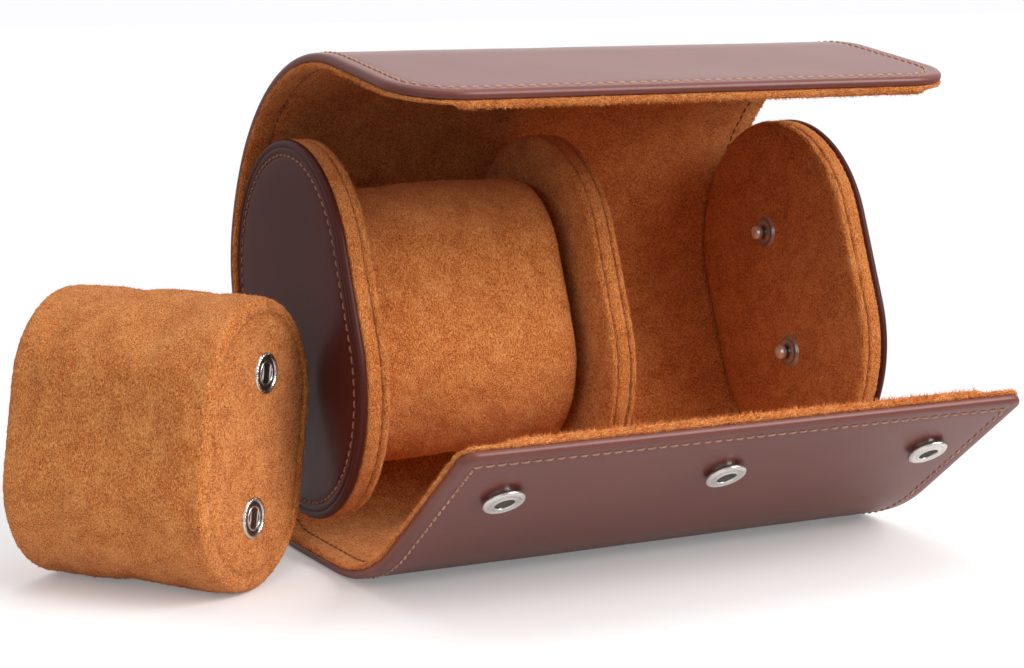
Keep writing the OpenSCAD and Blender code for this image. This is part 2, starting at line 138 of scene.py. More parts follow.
def ramp(net, fac, stops):
    r = add(net, "ValToRGB", {0: fac})
    while len(r.color_ramp.elements) < len(stops):
        r.color_ramp.elements.new(0.5)
    for e, (p, c) in zip(r.color_ramp.elements, stops):
        e.position, e.color = p, c
    return r.outputs[0]


def spread(net, fac, low, high):
    """fac, from 0 to 1, spread from low to high."""
    return add(net, "MapRange", {"Value": fac, "To Min": low, "To Max": high}).outputs[0]


def maths(net, kind, a, b):
    return add(net, "Math", {0: a, 1: b}, operation=kind).outputs[0]


def mix_colour(net, fac, a, b, kind="MIX"):
    return add(net, "Mix", {0: fac, 6: a, 7: b}, data_type="RGBA", blend_type=kind).outputs[2]


def bump(net, heights):
    """The Normal input made by a list of (height, strength, distance in metres)."""
    normal = {}
    for height, strength, distance in heights:
        inputs = {"Height": height, "Strength": strength, "Distance": distance}
        normal = {"Normal": add(net, "Bump", inputs | normal).outputs["Normal"]}
    return normal


def strokes(net, at, turn, stretch):
    """Noise drawn out along one direction, as short fibres lie."""
    mapped = add(net, "Mapping", {"Vector": at, "Rotation": turn, "Scale": stretch}).outputs[0]
    return noise(net, mapped, 1.7, 3, 0.6, 0.35)


def suede_material(name, dark, mid, light):
    """Fibres lying two ways, dark specks between them, and large patches brushed lighter or darker."""
    m, net, bsdf = new_material(name)
    at = coordinates(net, True)
    one = strokes(net, at, (0.3, 0.2, 0.6), (0.8, 2.4, 2.4))
    two = strokes(net, at, (0.5, 0.9, -0.7), (2.4, 0.8, 2.4))
    speck = noise(net, at, 2.7, 2, 0.5)
    brushed = noise(net, at, 0.16, 4, 0.62, 0.5)
    fibre = maths(net, "MAXIMUM", one, two)
    value = maths(net, "ADD", maths(net, "MULTIPLY", fibre, 0.90), maths(net, "MULTIPLY", brushed, 0.18))
    colour = ramp(net, value, [(0.475, dark), (0.575, mid), (0.675, light)])
    dots = ramp(net, speck, [(0.33, (0.50, 0.42, 0.38, 1)), (0.40, (1, 1, 1, 1))])
    colour = mix_colour(net, 0.65, colour, dots, "MULTIPLY")
    look = {"Base Color": colour, "Roughness": 0.95, "Specular IOR Level": 0.12}
    look |= {"Sheen Weight": 0.3, "Sheen Roughness": 0.5, "Sheen Tint": (1.0, 0.74, 0.46, 1)}
    feed(net, bsdf, look | bump(net, [(fibre, 0.9, 0.0007), (speck, 0.6, 0.0004), (brushed, 0.3, 0.001)]))
    return m


def leather_material(name, base, deep, gloss):
    """Smooth finished leather: a faint cloud of colour, fine pores and an even gloss."""
    m, net, bsdf = new_material(name)
    at = coordinates(net, True)
    cloud = noise(net, at, 0.03, 3, 0.5)
    pores = add(net, "TexVoronoi", {"Vector": at, "Scale": 1.5, "Smoothness": 0.6}, feature="SMOOTH_F1")
    grain = noise(net, at, 2.2, 3, 0.6)
    colour = ramp(net, cloud, [(0.35, deep), (0.65, base)])
    colour = mix_colour(net, 0.22, colour, ramp(net, grain, [(0.3, deep), (0.7, base)]))
    look = {"Base Color": colour, "Roughness": spread(net, grain, 0.33, 0.42), "Specular IOR Level": gloss}
    feed(net, bsdf, look | bump(net, [(pores.outputs["Distance"], 0.10, 0.0002), (grain, 0.10, 0.0001)]))
    return m


def metal_material(name, base, rough, on_sheet):
    """Metal whose colour and gloss vary a little."""
    m, net, bsdf = new_material(name)
    grain = noise(net, coordinates(net, on_sheet), 1.3, 3, 0.6)
    tint = mix_colour(net, grain, tuple(c * 0.82 for c in base[:3]) + (1,), base)
    look = {"Base Color": tint, "Roughness": spread(net, grain, rough * 0.75, rough * 1.35), "Metallic": 1.0}
    feed(net, bsdf, look | bump(net, [(grain, 0.06, 0.0001)]))
    return m


def stud_material(name):
    """A ball stud's nickel with painted shade and a painted highlight: dark at its neck and its flange, where the
    suede round it shades it, and painted bright on the ball.
    """
    m, net, bsdf = new_material(name)
    height = add(net, "SeparateXYZ", {0: coordinates(net, True)}).outputs["Z"]
    # painted light by height: plain nickel at the flange's rim, painted shade going dark towards the neck, then a
    # painted highlight bright on the ball
    stops = [(0.10, (0.66, 0.66, 0.66, 1)), (0.19, (0.34, 0.33, 0.32, 1)), (0.28, (0.10, 0.09, 0.08, 1))]
    stops += [(0.45, (0.05, 0.04, 0.04, 1)), (0.62, (0.60, 0.64, 0.68, 1)), (0.85, (0.90, 0.97, 1.0, 1))]
    colour = ramp(net, maths(net, "DIVIDE", height, STUD_H), stops)
    feed(net, bsdf, {"Base Color": colour, "Metallic": 0.6, "Roughness": 0.2})
    return m


def thread_material(name, base, deep):
    """Twisted thread: slanting bands of its two colours."""
    m, net, bsdf = new_material(name)
    inputs = {"Vector": coordinates(net, True), "Scale": 1.1, "Distortion": 1.5}
    ply = add(net, "TexWave", inputs, bands_direction="DIAGONAL").outputs["Fac"]
    look = {"Base Color": mix_colour(net, ply, deep, base), "Roughness": 0.7, "Sheen Weight": 0.15}
    feed(net, bsdf, look | bump(net, [(ply, 0.4, 0.0001)]))
    return m


def plain_board(name, base, deep, scale):
    """The fibrous look of board and foam."""
    m, net, bsdf = new_material(name)
    fibre = noise(net, coordinates(net, False), scale, 4, 0.6, 0.4)
    look = {"Base Color": ramp(net, fibre, [(0.3, deep), (0.7, base)]), "Roughness": 0.9}
    feed(net, bsdf, look | bump(net, [(fibre, 0.3, 0.0003)]))
    return m


SUEDE = suede_material("suede", linear(156, 70, 22), linear(234, 133, 60), linear(255, 184, 112))
NAP = suede_material("suede_nap", linear(180, 90, 34), linear(234, 138, 66), linear(255, 184, 114))
LEATHER_MAT = leather_material("brown_leather", linear(118, 60, 50), linear(110, 55, 45), 0.5)
LEATHER_DARK = leather_material("brown_leather_cap", linear(80, 35, 28), linear(72, 31, 25), 0.14)
THREAD_LINING = thread_material("thread_lining", linear(160, 88, 44), linear(112, 58, 28))
NICKEL = metal_material("nickel", (0.78, 0.76, 0.72, 1), 0.24, True)
NICKEL_STUD = stud_material("nickel_stud")
NICKEL_CAD = metal_material("nickel_fitting", (0.66, 0.64, 0.60, 1), 0.2, False)
# near-black nickel for the sockets' wells: painted shade of their hollows
NICKEL_PAINTED_SHADE = metal_material("nickel_painted_shade", (0.13, 0.11, 0.10, 1), 0.38, True)
THREAD = thread_material("thread", linear(206, 158, 130), linear(150, 106, 84))
THREAD_CAP = thread_material("thread_cap", linear(172, 114, 80), linear(118, 72, 50))
THREAD_DARK = thread_material("thread_dark", linear(132, 72, 36), linear(88, 44, 22))
BOARD_MAT = plain_board("board", linear(176, 150, 116), linear(140, 112, 80), 0.6)
FOAM_MAT = plain_board("foam", linear(232, 226, 208), linear(208, 200, 178), 1.4)


# ---- meshes ----
def set_flat(mesh, flat):
    """Stores each vertex's coordinates for its material."""
    at = mesh.attributes.new("flat", "FLOAT_VECTOR", "POINT")
    at.data.foreach_set("vector", np.asarray(flat, np.float32).ravel())


def add_object(name, data):
    obj = bpy.data.objects.new(name, data)
    scene.collection.objects.link(obj)
    return obj


def make(name, verts, faces, material, flat=None, smooth=True):
    """An object from vertices in millimetres. flat holds each vertex's coordinates for its material."""
    mesh = bpy.data.meshes.new(name)
    verts = np.asarray(verts, float)
    mesh.from_pydata((verts * MM).tolist(), [], [list(map(int, f)) for f in faces])
    set_flat(mesh, verts if flat is None else flat)
    mesh.update()
    bm = bmesh.new()
    bm.from_mesh(mesh)
    bmesh.ops.remove_doubles(bm, verts=bm.verts, dist=1e-6)
    bmesh.ops.dissolve_degenerate(bm, edges=bm.edges, dist=1e-7)
    bmesh.ops.recalc_face_normals(bm, faces=bm.faces)
    bm.to_mesh(mesh)
    bm.free()
    mesh.polygons.foreach_set("use_smooth", [smooth] * len(mesh.polygons))
    mesh.materials.append(material)
    return add_object(name, mesh)


def sharpen(obj, degrees):
    """Marks the edges that turn by more than this as sharp."""
    bm = bmesh.new()
    bm.from_mesh(obj.data)
    limit = math.radians(degrees)
    for e in bm.edges:
        e.smooth = not (len(e.link_faces) == 2 and e.calc_face_angle(0) > limit)
    bm.to_mesh(obj.data)
    bm.free()


def grid_faces(rows, cols, wrap=False):
    i = np.arange(rows - 1)[:, None] * cols
    j = np.arange(cols if wrap else cols - 1)[None, :]
    k = (j + 1) % cols
    return np.stack([i + j, i + k, i + cols + k, i + cols + j], -1).reshape(-1, 4)


def smooth_noise(points, size, seed):
    """A smooth random value from -1 to 1 at each point, with features of that size."""
    total = np.zeros(len(points))
    local = np.random.default_rng(seed)
    for _ in range(9):
        d = local.normal(size=3)
        d *= 2 * math.pi / (np.linalg.norm(d) * size * local.uniform(0.75, 1.5))
        total += np.sin(points @ d + local.uniform(0, 2 * math.pi))
    return total / 4.5


# ---- the cover's section: poses [y, z, heading] of the leather's outer face ----
def along(p, length, turn):
    """The pose at the end of a run: straight, or an arc that turns by so many degrees."""
    if turn == 0:
        return (p[0] + length * math.cos(math.radians(p[2])), p[1] + length * math.sin(math.radians(p[2])), p[2])
    r, a, b = length / math.radians(turn), math.radians(p[2]), math.radians(p[2] + turn)
    return (p[0] + r * (math.sin(b) - math.sin(a)), p[1] + r * (math.cos(a) - math.cos(b)), p[2] + turn)


def reverse(p, length, turn):
    """The same run walked from its far end: its start, length and turn."""
    y, z, h = along(p, length, turn)
    return ((y, z, h + 180), length, -turn)


def cover_path():
    """Path pieces (pose, length, turn, body) from the lip's edge to the flap's edge, and where lip_3 starts. The lip
    is drawn from the foot, and the lower back from the middle of the caps, so their runs are reversed."""
    c, s = math.cos(math.radians(LEAN)), math.sin(math.radians(LEAN))
    y0, z0 = CAP_Y + WRAP_R * c, CAP_Z - WRAP_R * s
    up = (y0, z0, 90 - LEAN)
    corner = along(up, CAP_STRAIGHT / 2, 0)
    corner_l = WRAP_R * math.radians(BACK_TURN)
    shoulder = along(corner, corner_l, BACK_TURN)
    flap_1 = along(shoulder, *SHOULDER)
    flap_2 = along(flap_1, *FLAP_1)
    flap_3 = along(flap_2, *FLAP_2)
    down = (y0, z0, -90 - LEAN)
    turn = 90 - LEAN
    down_l = (z0 - FOOT_R * (1 - math.cos(math.radians(turn)))) / c
    bend = along(down, down_l, 0)
    bend_l = FOOT_R * math.radians(turn)
    foot = along(bend, bend_l, -turn)
    lip_1 = (-FOOT_FRONT, 0.0, -180)
    lip_bend = along(lip_1, LIP_FOOT_L, 0)
    lip_2 = along(lip_bend, *LIP_BEND)
    lip_3 = along(lip_2, LIP_2_L, 0)
    pieces = [
        (*reverse(lip_3, LIP_3_L, 0), "lip_3"),
        (*reverse(lip_2, LIP_2_L, 0), "lip_2"),
        (*reverse(lip_bend, *LIP_BEND), "lip_1"),
        (*reverse(lip_1, LIP_FOOT_L, 0), "lip_1"),
        (*reverse(foot, foot[0] + FOOT_FRONT, 0), "case"),
        (*reverse(bend, bend_l, -turn), "case"),
        (*reverse(down, down_l, 0), "case"),
        (up, CAP_STRAIGHT / 2, 0, "case"),
        (corner, corner_l, BACK_TURN, "case"),
        (shoulder, *SHOULDER, "case"),
        (flap_1, *FLAP_1, "flap_1"),
        (flap_2, *FLAP_2, "flap_2"),
        (flap_3, FLAP_3_L, 0, "flap_3"),
    ]
    return pieces, lip_3


PATH, LIP_3 = cover_path()
STARTS = np.concatenate([[0], np.cumsum([p[1] for p in PATH])])
COVER_L = float(STARTS[-1])


def section_at(s):
    """(y, z, heading in radians) arrays of the outer face at each s."""
    s = np.asarray(s, float)
    k = np.clip(np.searchsorted(STARTS, s, side="right") - 1, 0, len(PATH) - 1)
    y0, z0, h0 = (np.array([p[0][i] for p in PATH])[k] for i in range(3))
    length, turn = np.array([p[1] for p in PATH])[k], np.array([p[2] for p in PATH], float)[k]
    u = s - STARTS[k]
    a = np.radians(h0)
    b = a + np.radians(turn) * u / length
    bent = np.abs(turn) > 0
    r = np.where(bent, length / np.where(bent, np.radians(turn), 1), 0)
    y = np.where(bent, y0 + r * (np.sin(b) - np.sin(a)), y0 + u * np.cos(a))
    z = np.where(bent, z0 + r * (np.cos(a) - np.cos(b)), z0 + u * np.sin(a))
    return y, z, b


def bend_sheet(x, s, depth):
    """Points of the flat sheet at a depth under the outer face, bent along the section."""
    y, z, h = section_at(s)
    return np.stack([x, y - depth * np.sin(h), z + depth * np.cos(h)], -1)


def edge_run(inset, rows, end, columns, arc):
    """The left half-outline at an inset, for the straight rows, then round the corner to the middle of the end.
    end is "lip", "flap" or None. Returns arrays x (negative) and s."""
    w = HALF_W - inset
    x, s = [-w] * len(rows), list(rows)
    if end:
        r = max((LIP_CORNER if end == "lip" else FLAP_CORNER) - inset, 0.6 + 0.004 * inset)
        for k in range(1, arc + 1):
            t = math.pi / 2 * k / arc
            x.append(-w + r - r * math.cos(t))
            edge = inset + r - r * math.sin(t)
            s.append(edge if end == "lip" else COVER_L - edge)
        for k in range(1, columns // 2 + 1):
            x.append(x[len(rows) + arc - 1] * (1 - 2 * k / columns))
            s.append(inset if end == "lip" else COVER_L - inset)
    return np.array(x), np.array(s)


def cover_strip(name, s0, s1, end, profile, step, columns, material, wave, jitter=0.0):
    """One strip of a cover layer between two cuts, a closed solid. profile is the edge's section, as (inset, depth)
    points from the outside face round the edge to the inside face. end says which end of the cover it holds."""
    deep = max(i for i, _ in profile)
    room = max(LIP_CORNER if end == "lip" else FLAP_CORNER, deep + 1) + 1 if end else 0
    lo, hi = (s0 + room, s1) if end == "lip" else (s0, s1 - room)
    n = max(int(round((hi - lo) / step)), 2)
    rows = np.linspace(lo, hi, n + 1)
    rows = np.sort(np.concatenate([rows, [lo + 0.35 * step, hi - 0.35 * step]]))
    if end == "lip":
        rows = rows[::-1]  # every end strip runs from its cut to its free edge
    arc = 10 if end != "flap" else 18
    half = [edge_run(i, rows, end, columns, arc) for i, _ in profile]
    m = len(half[0][0])
    # left cut, round the end, right cut: or left and right edges by themselves
    back = slice(-2 if end else None, None, -1)
    full_x = [np.concatenate([x, -x[back]]) for x, _ in half]
    full_s = [np.concatenate([s, s[back]]) for _, s in half]
    rim_n = len(full_x[0])
    xs, ss, ds = full_x[:], full_s[:], [np.full(rim_n, depth) for _, depth in profile]
    faces = [grid_faces(len(profile), rim_n)]
    if not end:  # no face between the left and the right edge
        g = faces[0].reshape(len(profile) - 1, rim_n - 1, 4)
        keep = np.arange(rim_n - 1) != m - 1
        faces[0] = g[:, keep].reshape(-1, 4)
    count = rim_n * len(profile)
    span = len(rows) + (arc if end else 0)  # rows across, from the cut to the end edge

    def fill(ring):
        """Rows of faces across the sheet, joined to ring's vertices."""
        nonlocal count
        x, s = full_x[ring], full_s[ring]
        ids = np.zeros((span, columns + 1), int)
        t = np.linspace(0, 1, columns + 1)
        for i in range(span):
            left, right = i, rim_n - 1 - i
            if end and i == span - 1:
                ids[i] = ring * rim_n + np.arange(left, right + 1)
                continue
            ids[i, 0], ids[i, -1] = ring * rim_n + left, ring * rim_n + right
            ids[i, 1:-1] = count + np.arange(columns - 1)
            count += columns - 1
            xs.append(x[left] + (x[right] - x[left]) * t[1:-1])
            ss.append(np.full(columns - 1, s[left]))
            ds.append(np.full(columns - 1, profile[ring][1]))
        faces.append(np.stack([ids[:-1, :-1], ids[:-1, 1:], ids[1:, 1:], ids[1:, :-1]], -1).reshape(-1, 4))
        return ids

    outer, inner = fill(0), fill(len(profile) - 1)
    cuts = []
    for row, rim in ((0, 0), (span - 1, m - 1)):
        if end and row:
            continue
        left = [k * rim_n + rim for k in range(len(profile))]
        right = [k * rim_n + (rim_n - 1 - rim) for k in range(len(profile))]
        cuts.append(list(outer[row]) + right[1:] + list(inner[row][::-1])[1:] + left[-2:0:-1])
    x, s, d = np.concatenate(xs), np.concatenate(ss), np.concatenate(ds)
    d = d + wave(x, s, d)
    if jitter:
        near = np.minimum(np.abs(s - s0) if end != "lip" else 9, np.abs(s - s1) if end != "flap" else 9)
        hold = np.clip(near / 0.8, 0, 1)
        d = d + rng.normal(0, jitter, len(d)) * hold
        x = x + rng.normal(0, jitter, len(x)) * (np.abs(x) > HALF_W - 3) * hold
    obj = make(name, bend_sheet(x, s, d), [*np.concatenate(faces), *cuts], material, flat=np.stack([x, s, d], -1))
    flat_cut_edges(obj)
    return obj


def flat_cut_edges(obj):
    """The faces that close a strip's cuts are flat and their edges sharp, so that the strips look joined."""
    bm = bmesh.new()
    bm.from_mesh(obj.data)
    for f in bm.faces:
        if len(f.verts) > 4:
            f.smooth = False
            for e in f.edges:
                e.smooth = False
    bm.to_mesh(obj.data)
    bm.free()


def blend_at_fold(obj):
    """Bakes the piece's placement into its vertices."""
    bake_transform(obj)


# ---- stitches ----
STITCH_RING = [(-1.0, 0.30, -0.55), (-0.82, 0.8, -0.2), (-0.4, 1.0, 0.06)]  # (along, size, lift) for half a thread
STITCH_RING += [(-u, size, lift) for u, size, lift in STITCH_RING[::-1]]
ROUND = 8  # sides of a thread or a wire


def stitches(name, places, material, length, width):
    """Short threads, slanted a little. places is a list of (point, direction, normal), in millimetres."""
    verts, faces, sides = [], [], ROUND
    for p, t, n in places:
        p, t, n = (np.asarray(v, float) for v in (p, t, n))
        t = t / np.linalg.norm(t)
        n = n / np.linalg.norm(n)
        t = t + np.cross(n, t) * 0.10
        t /= np.linalg.norm(t)
        b = np.cross(n, t)
        base = len(verts)
        for u, size, lift in STITCH_RING:
            for k in range(sides):
                a = 2 * math.pi * k / sides
                up = lift * width + size * width / 2 * math.sin(a)
                verts.append(p + t * u * length / 2 + n * up + b * size * width / 2 * math.cos(a))
        last = base + (len(STITCH_RING) - 1) * sides
        faces += (grid_faces(len(STITCH_RING), sides, wrap=True) + base).tolist()
        faces += [[base + k for k in range(sides)][::-1], [last + k for k in range(sides)]]
    return make(name, verts, faces, material)


def spaced(points, pitch):
    """Even steps of about a pitch along an open polyline: (x, s) points and unit directions."""
    points = np.asarray(points, float)
    seg = np.linalg.norm(np.diff(points, axis=0), axis=1)
    at = np.concatenate([[0], np.cumsum(seg)])
    n = int(round(at[-1] / pitch))
    want = (np.arange(n) + 0.5) * at[-1] / n
    out, ahead, back = (
        np.stack([np.interp(want + step, at, points[:, i]) for i in range(points.shape[1])], -1)
        for step in (0, 0.2, -0.2)
    )
    d = ahead - back
    return out, d / np.linalg.norm(d, axis=1)[:, None]


def cover_seam(inset):
    """The whole seam round the cover at an inset, as (x, s) points: a closed rounded rectangle."""
    rows = np.arange(22.0, COVER_L - 21.0, 1.0)
    lx, ls = edge_run(inset, rows[::-1], "lip", 60, 12)
    fx, fs = edge_run(inset, rows, "flap", 60, 18)
    left = np.concatenate([np.stack([lx, ls], -1)[::-1], np.stack([fx, fs], -1)[len(rows):]])
    right = left[::-1] * [-1, 1]
    return np.concatenate([left, right[1:]])


# ---- the cover ----
CUTS = [0.0, LIP_3_L + 10.5, LIP_3_L + LIP_2_L + LIP_BEND[0] + 6]
CUTS += [float(STARTS[7]) + 2.0, float(STARTS[10]) + 13.0, float(STARTS[11]) + 25.0, COVER_L]
STAND_FOR = ["lip_3_{}", "lip_2_{}", "lip_1_{}", "cover_back_{}", "flap_1_{}", "flap_2_{},flap_3_{}"]
LABEL = ["lip_edge", "lip_bend", "foot", "rear", "flap_back", "flap_front"]
STITCH_IN, SEAM_IN, STITCH_PITCH = 4.0, 5.2, 2.9

# the edges' sections as (inset, depth): the leather with its stitched groove, then the lining with its seam
LEATHER_EDGE = [(9.0, 0.0), (6.6, 0.0), (5.2, 0.03), (4.55, 0.10), (4.0, 0.17), (3.45, 0.10), (2.8, 0.02)]
LEATHER_EDGE += [(2.1, 0.0), (1.5, 0.03)]
LEATHER_EDGE += [(1.2 - 1.2 * math.sin(a), 1.25 - 1.2 * math.cos(a)) for a in np.radians([15, 35, 55, 75, 90])]
LEATHER_EDGE += [(0.05, 1.7), (0.18, 2.1), (0.7, 2.28), (2.6, 2.28), (3.2, 1.15)]
LINING_EDGE = [(3.2, 2.32), (1.6, 2.34), (0.75, 2.3), (0.3, 2.42), (0.05, 2.62), (-0.08, 2.9), (0.0, 3.15)]
LINING_EDGE += [(0.28, 3.4), (0.8, 3.55), (1.6, 3.6), (2.6, 3.62), (3.6, 3.62), (4.5, 3.57), (5.2, 3.42)]
LINING_EDGE += [(5.9, 3.57), (6.8, 3.6)]
HEM_SWELL = 0.85  # how much thicker the hem is at its fullest


def leather_wave(x, s, d):
    """The outer face isn't quite flat: it is a hand's work over board."""
    p = np.stack([x, s, np.zeros_like(x)], -1)
    calm = np.clip((HALF_W - np.abs(x)) / 12, 0, 1) * np.clip(np.minimum(s, COVER_L - s) / 12, 0, 1)
    return np.where(d < 0.5, (0.07 * smooth_noise(p, 42, 3) + 0.03 * smooth_noise(p, 17, 4)) * calm + 0.04, 0)


def lining_wave(x, s, d):
    """The suede gives a little, and its hem is fullest along the two front edges."""
    p = np.stack([x, s, np.zeros_like(x)], -1)
    calm = np.clip((HALF_W - np.abs(x)) / 8, 0, 1)
    from_edge = np.minimum(s, COVER_L - s)
    reach = np.where(s < 10, 2.5, 1.7)  # less on the flap, where it comes down on the sockets' rims
    hem = np.clip((reach - from_edge) / (reach - 1.0), 0, 1) * np.clip((d - 2.5) / 0.8, 0, 1)
    hem = hem * np.clip((HALF_W - CAP_T - 2 - np.abs(x)) / 3, 0, 1)  # flat where it closes on the caps
    sag = np.where(d > 3.3, -np.abs(0.05 * smooth_noise(p, 20, 5)) * calm, 0)
    return sag + HEM_SWELL * hem * hem * (3 - 2 * hem)


cover_pieces = {}
for i, label in enumerate(LABEL):
    end = "lip" if i == 0 else "flap" if i == len(LABEL) - 1 else None
    s0, s1 = CUTS[i], CUTS[i + 1]
    outer = cover_strip(f"cover_{label}_leather", s0, s1, end, LEATHER_EDGE, 1.5, 60, LEATHER_MAT, leather_wave)
    lining = cover_strip(f"cover_{label}_lining", s0, s1, end, LINING_EDGE, 0.9, 150, SUEDE, lining_wave, 0.07)
    for piece, layer, slot in ((outer, "leather", "brown_leather"), (lining, "lining", "suede")):
        blend_at_fold(piece)
        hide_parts(*STAND_FOR[i].format(layer, layer).split(","))
    cover_pieces[label] = (outer, lining)

for kind, inset, depth, side, material in (
    ("stitches", STITCH_IN, 0.13, -1, THREAD),
    ("lining_stitches", SEAM_IN, 3.46, 1, THREAD_LINING),
):
    at, way = spaced(cover_seam(inset), STITCH_PITCH)
    y, z, h = section_at(at[:, 1])
    point = bend_sheet(at[:, 0], at[:, 1], np.full(len(at), depth))
    direction = np.stack([way[:, 0], way[:, 1] * np.cos(h), way[:, 1] * np.sin(h)], -1)
    normal = side * np.stack([np.zeros(len(at)), -np.sin(h), np.cos(h)], -1)
    for i, label in enumerate(LABEL):
        mine = (at[:, 1] >= CUTS[i]) & (at[:, 1] < CUTS[i + 1])
        places = list(zip(point[mine], direction[mine], normal[mine]))
        piece = stitches(f"cover_{label}_{kind}", places, material, 2.35, 0.64)
        blend_at_fold(piece)


# ---- lofts round a racetrack, for caps, divider and cushions ----
AXES = Matrix(((0, 0, 1, 0), (1, 0, 0, 0), (0, 1, 0, 0), (0, 0, 0, 1)))  # local x, y, z to Y, Z, X
MIRROR = Matrix.Diagonal((1, 1, -1, 1))
LEANING = Matrix.Translation((0, CAP_Y, CAP_Z)) @ Matrix.Rotation(math.radians(-LEAN), 4, "X") @ AXES
LEFT = LEANING @ Matrix.Translation((0, 0, -HALF_W))
RIGHT = LEANING @ Matrix.Translation((0, 0, HALF_W)) @ MIRROR
DIVIDER = LEANING @ Matrix.Translation((DIVIDER_INSET, 0, -DIVIDER_SHIFT - DIVIDER_T / 2))
LEFT_CUSHION = LEFT @ Matrix.Translation((0, 0, CUSHION_Z))
LOOSE_Z = CUSHION_R + CUSHION_STRAIGHT / 2 * math.cos(math.radians(LOOSE_ROLL))
LOOSE_CUSHION = (
    Matrix.Translation((-LOOSE_X, -LOOSE_Y, LOOSE_Z))
    @ Matrix.Rotation(math.radians(-LOOSE_TURN), 4, "Z")
    @ Matrix.Rotation(math.radians(-LOOSE_ROLL), 4, "X")
    @ AXES
    @ Matrix.Translation((0, 0, CUSHION_L / 2))
    @ MIRROR
)


def placed(matrix, points):
    m = np.array(matrix, float)
    return np.asarray(points, float) @ m[:3, :3].T + m[:3, 3]


def racetrack(straight, n_arc, n_line):
    """Unit outline: for each sample its centre on the spine and its outward direction."""
    centre, out = [], []
    for side in (1, -1):
        for k in range(n_line):
            centre.append((0, side * (-straight / 2 + straight * k / n_line)))
            out.append((side, 0))
        for k in range(n_arc):
            a = math.pi * k / n_arc + math.pi * (side < 0)
            centre.append((0, side * straight / 2))
            out.append((math.cos(a), math.sin(a)))
    return np.array(centre, float), np.array(out, float)


def loft(name, matrix, straight, profile, material, spacing, shape=None, jitter=0.0, seed=1):
    """A closed solid swept round a racetrack. profile is (r, z) points from the spine out and back to the spine.
    shape(points, out, r, z) may move the points."""
    profile = [np.array(p, float) for p in profile]
    r_max = max(p[0] for p in profile)
    n_arc = max(int(math.pi * r_max / spacing), 12)
    n_line = max(int(straight / spacing), 2)
    centre, out = racetrack(straight, n_arc, n_line)
    n = len(centre)
    pts = np.concatenate([np.column_stack([centre + out * r, np.full(n, z)]) for r, z in profile])
    outs = np.tile(np.column_stack([out, np.zeros(n)]), (len(profile), 1))
    rz = np.repeat(np.array(profile), n, axis=0)
    if shape is not None:
        pts = shape(pts, outs, rz[:, 0], rz[:, 1])
    if jitter:
        calm = np.clip(rz[:, :1] / 10, 0, 1)  # less where the points crowd together
        pts = pts + np.random.default_rng(seed).normal(0, jitter, pts.shape) * calm
        for part in (slice(0, n), slice(len(pts) - n, len(pts))):  # the spine's two sides meet
            pts[part] = np.column_stack([centre, np.full(n, rz[part.start, 1])])
    return make(name, placed(matrix, pts), grid_faces(len(profile), n, wrap=True), material, flat=pts)


def fine(profile, step):
    """The same profile with no segment longer than a step."""
    out = [profile[0]]
    for a, b in zip(profile, profile[1:]):
        n = max(int(math.ceil(math.dist(a, b) / step)), 1)
        out += [(a[0] + (b[0] - a[0]) * k / n, a[1] + (b[1] - a[1]) * k / n) for k in range(1, n + 1)]
    return out


def curve(points):
    """A smooth run (Catmull-Rom) through profile points."""
    p = [np.array(q, float) for q in points]
    p = [2 * p[0] - p[1]] + p + [2 * p[-1] - p[-2]]
    out = []
    for a, b, c, d in zip(p, p[1:], p[2:], p[3:]):
        bend, twist = 2 * a - 5 * b + 4 * c - d, 3 * b - a - 3 * c + d
        out += [tuple(0.5 * (2 * b + (c - a) * t + bend * t * t + twist * t**3)) for t in (0, 1 / 3, 2 / 3)]
    out.append(tuple(p[-2]))
    return out


def inside(r, points):
    """Profile points (r, z) from points (inset from the outline, z)."""
    return [(r - i, z) for i, z in points]


def mirrored(profile, t):
    """The other half of a profile that is the same at both ends of a thickness."""
    return [(a, t - b) for a, b in profile[::-1]]


def ring_stitches(name, matrix, r, z, normal, material, length, width):
    """Stitches round a racetrack of the case. normal is (out, z) of the surface they lie on."""
    centre, out = racetrack(CAP_STRAIGHT, 80, 40)
    loop = np.concatenate([centre + out * r, (centre + out * r)[:1]])
    at, way = spaced(loop, 2.6)
    m = np.array(matrix, float)[:3, :3]
    places = []
    for p, t in zip(at, way):
        o = np.array([t[1], -t[0]])
        n = np.array([o[0] * normal[0], o[1] * normal[0], normal[1]])
        places.append((placed(matrix, [[p[0], p[1], z]])[0], m @ np.array([t[0], t[1], 0]), m @ n))
    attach(stitches(name, places, material, length, width), "case")


